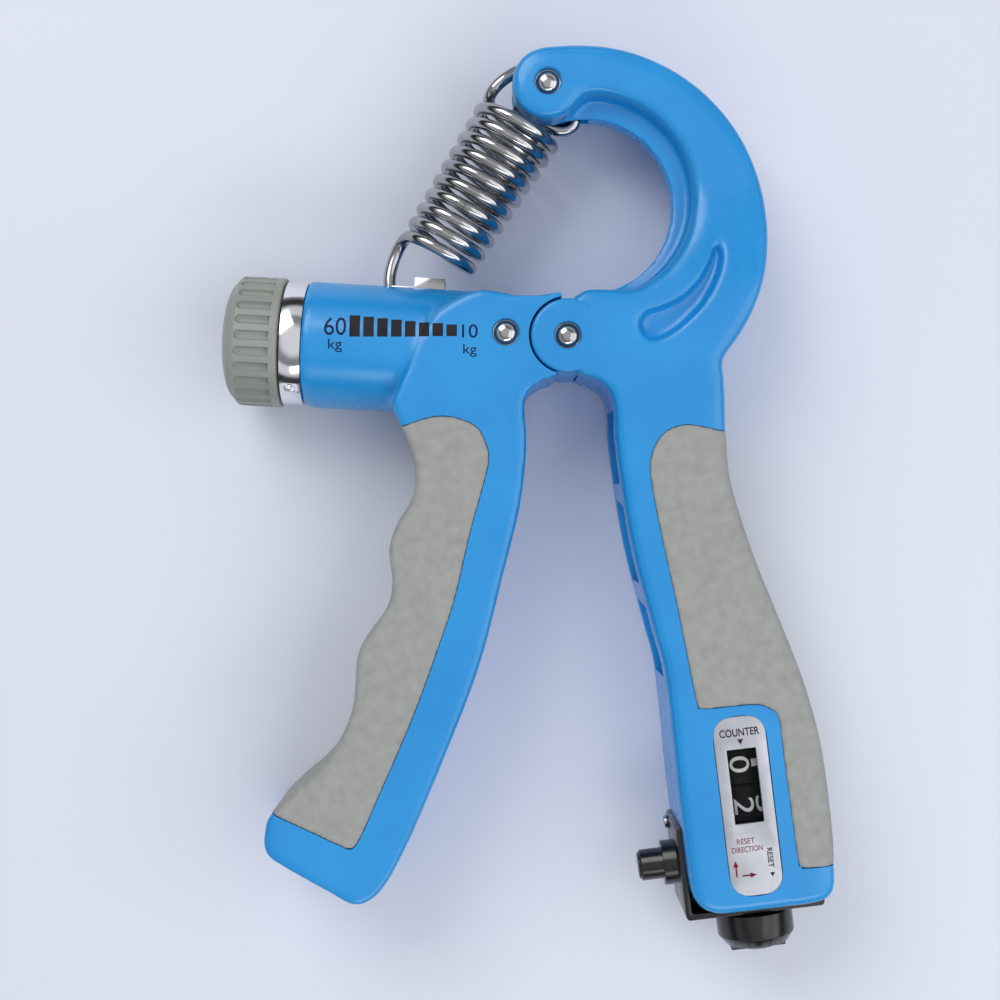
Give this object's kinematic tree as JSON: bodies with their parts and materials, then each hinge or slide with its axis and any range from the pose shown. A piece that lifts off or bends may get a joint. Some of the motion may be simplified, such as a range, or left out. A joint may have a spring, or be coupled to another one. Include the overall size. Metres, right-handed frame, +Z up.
{
  "type": "hand grip strengthener",
  "caption": "Hand gripper with two hinged handles, a pull spring whose load is set by a screw in a barrel, and a squeeze counter with a reset knob.",
  "frame": {"origin": "On the axis of the main hinge, in the plane the gripper rests on", "axes": "+Z up out of the resting plane along the hinge axis; +Y from the handles towards the spring arm; +X from the left handle to the right one"},
  "size_m": [0.1075, 0.16, 0.024],
  "materials": {
    "blue_plastic": "satin moulded plastic",
    "grey_rubber": "matte soft rubber",
    "grey_plastic": "satin moulded plastic",
    "chrome": "polished plating",
    "steel": "plain turned steel",
    "brass": "plain turned brass",
    "black_plastic": "gloss moulded plastic",
    "frame_black": "matte moulded plastic",
    "wheel_black": "matte with white figures",
    "label_silver": "satin silver with dark print",
    "lens": "clear plastic"
  },
  "bodies": {
    "right_handle": {"right_shell": "blue_plastic", "right_grip": "grey_rubber", "pivot_rivet": "chrome", "top_rivet": "chrome", "counter_cover": "black_plastic", "cover_screws": "steel", "counter_frame": "frame_black", "label_plate": "label_silver", "window_lens": "lens", "detent_spring": "steel", "plunger_spring": "steel"},
    "left_handle": {"left_shell": "blue_plastic", "left_grip": "grey_rubber", "pivot_bush": "brass", "anchor_rivet": "chrome", "screw_bearing": "steel", "barrel_collar": "chrome"},
    "tension_knob": {"tension_screw": "steel", "tension_knob": "grey_plastic", "knob_screw": "steel", "knob_cap": "grey_plastic", "thrust_washer": "steel"},
    "tension_nut": {"travelling_nut": "steel", "hook_pin": "steel"},
    "spring_eye": {"spring_eye_bush": "brass"},
    "spring_upper": {"spring_upper": "chrome"},
    "spring_middle": {"spring_middle": "chrome"},
    "spring_lower": {"spring_lower": "chrome"},
    "plunger": {"count_plunger": "black_plastic", "drive_pawl": "steel"},
    "reset_shaft": {"reset_arbor": "steel", "reset_knob": "black_plastic", "reset_screw": "steel"},
    "units_wheel": {"units_wheel": "wheel_black"},
    "tens_wheel": {"tens_wheel": "wheel_black"}
  },
  "joints": [
    {"name": "grip_hinge", "type": "hinge", "parent": "right_handle", "child": "left_handle", "pos_m": [0, 0, 0.012], "axis": [0, 0, 1], "range_deg": [0, 25], "stiffness_Nm_per_rad": 12, "springref_deg": -5.73},
    {"name": "knob_turn", "type": "hinge", "parent": "left_handle", "child": "tension_knob", "pos_m": [-0.0463, -0.00047, 0.012], "axis": [0.9983, -0.0576, 0], "range_deg": [-3960, 1440]},
    {"name": "nut_slide", "type": "slide", "parent": "left_handle", "child": "tension_nut", "axis": [0.9983, -0.0576, 0], "range_m": [-0.011, 0.004]},
    {"name": "spring_swing", "type": "hinge", "parent": "right_handle", "child": "spring_eye", "pos_m": [-0.0033, 0.0449, 0.012], "axis": [0, 0, 1], "range_deg": [0, 6.01]},
    {"name": "spring_set_swing", "type": "hinge", "parent": "spring_eye", "child": "spring_upper", "pos_m": [-0.0033, 0.0449, 0.012], "axis": [0, 0, 1], "range_deg": [-12.2, 4.5], "deforming": ["spring_upper"]},
    {"name": "spring_stretch", "type": "slide", "parent": "spring_upper", "child": "spring_middle", "axis": [-0.5298, -0.8481, 0], "range_m": [0, 0.0109], "deforming": ["spring_middle"]},
    {"name": "spring_set_stretch", "type": "slide", "parent": "spring_middle", "child": "spring_lower", "axis": [-0.5298, -0.8481, 0], "range_m": [-0.0021, 0.0056], "deforming": ["spring_lower"]},
    {"name": "plunger_press", "type": "slide", "parent": "right_handle", "child": "plunger", "axis": [0.993, 0.1184, 0], "range_m": [0, 0.0038], "stiffness_N_per_m": 400, "springref_m": -0.001, "deforming": ["plunger_spring"]},
    {"name": "reset_turn", "type": "hinge", "parent": "right_handle", "child": "reset_shaft", "pos_m": [0.031, -0.0811, 0.0149], "axis": [-0.1184, 0.993, 0], "continuous": true},
    {"name": "units_step", "type": "hinge", "parent": "reset_shaft", "child": "units_wheel", "pos_m": [0.031, -0.0811, 0.0149], "axis": [-0.1184, 0.993, 0], "range_deg": [-36, 0]},
    {"name": "tens_turn", "type": "hinge", "parent": "reset_shaft", "child": "tens_wheel", "pos_m": [0.031, -0.0811, 0.0149], "axis": [-0.1184, 0.993, 0], "continuous": true}
  ],
  "couplings": [
    {"joint": "nut_slide", "follows": "knob_turn", "m_per_rad": 0.00015915},
    {"joint": "spring_swing", "follows": "grip_hinge", "ratio": 0.23977},
    {"joint": "spring_stretch", "follows": "grip_hinge", "m_per_rad": 0.024796},
    {"joint": "spring_set_swing", "follows": "knob_turn", "ratio": 0.0030553},
    {"joint": "spring_set_stretch", "follows": "knob_turn", "m_per_rad": -0.000080274},
    {"joint": "units_step", "follows": "plunger_press", "rad_per_m": -165}
  ]
}
